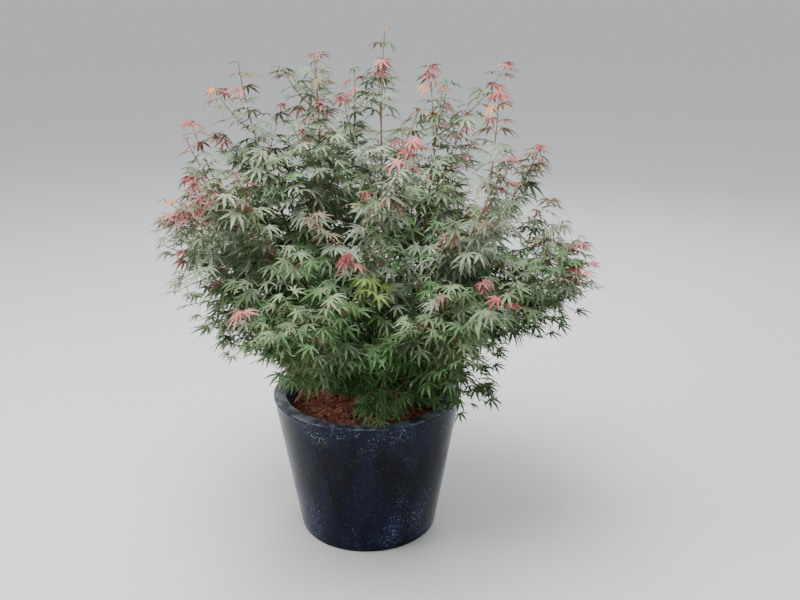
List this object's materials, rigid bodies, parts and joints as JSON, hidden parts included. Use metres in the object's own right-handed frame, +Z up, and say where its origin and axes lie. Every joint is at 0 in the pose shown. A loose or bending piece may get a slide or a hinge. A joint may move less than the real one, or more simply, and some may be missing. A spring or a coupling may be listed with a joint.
{
  "type": "potted japanese maple",
  "caption": "Shrubby japanese maple with palmate leaves in a tall tapered glazed pot topped with bark mulch.",
  "frame": {"origin": "centre of the pot's flat underside", "axes": "+Z up, +X to the right and +Y to the back as seen from the picture's side, -Z down into the ground"},
  "size_m": [1.2957, 1.1153, 1.4242],
  "materials": {
    "pot": "gloss, dark blue-black glaze with speckles",
    "soil": "matte moist potting compost",
    "mulch": "matte reddish bark chips",
    "bark": "smooth green-brown bark",
    "foliage": "matte leaves"
  },
  "bodies": {
    "root": {"bough_leader_1": "bark", "bough_leader_2": "bark", "bough_leader_3": "bark", "bough_leader_4": "bark", "bough_leader_5": "bark", "bough_shoulder_1": "bark", "bough_shoulder_2": "bark", "bough_shoulder_3": "bark", "bough_shoulder_4": "bark", "bough_shoulder_5": "bark", "bough_shoulder_6": "bark", "bough_shoulder_7": "bark", "bough_waist_1": "bark", "bough_waist_2": "bark", "bough_waist_3": "bark", "bough_waist_4": "bark", "bough_waist_5": "bark", "bough_waist_6": "bark", "bough_waist_7": "bark", "bough_waist_8": "bark", "bough_waist_9": "bark", "foliage_leader_1": "foliage", "foliage_leader_2": "foliage", "foliage_leader_3": "foliage", "foliage_leader_4": "foliage", "foliage_leader_5": "foliage", "foliage_shoulder_1": "foliage", "foliage_shoulder_2": "foliage", "foliage_shoulder_3": "foliage", "foliage_shoulder_4": "foliage", "foliage_shoulder_5": "foliage", "foliage_shoulder_6": "foliage", "foliage_shoulder_7": "foliage", "foliage_skirt_1": "foliage", "foliage_skirt_2": "foliage", "foliage_skirt_3": "foliage", "foliage_skirt_4": "foliage", "foliage_skirt_5": "foliage", "foliage_skirt_6": "foliage", "foliage_skirt_7": "foliage", "foliage_waist_1": "foliage", "foliage_waist_2": "foliage", "foliage_waist_3": "foliage", "foliage_waist_4": "foliage", "foliage_waist_5": "foliage", "foliage_waist_6": "foliage", "foliage_waist_7": "foliage", "foliage_waist_8": "foliage", "foliage_waist_9": "foliage", "mulch": "mulch", "pot": "pot", "soil": "soil", "trunk": "bark"}
  },
  "joints": []
}
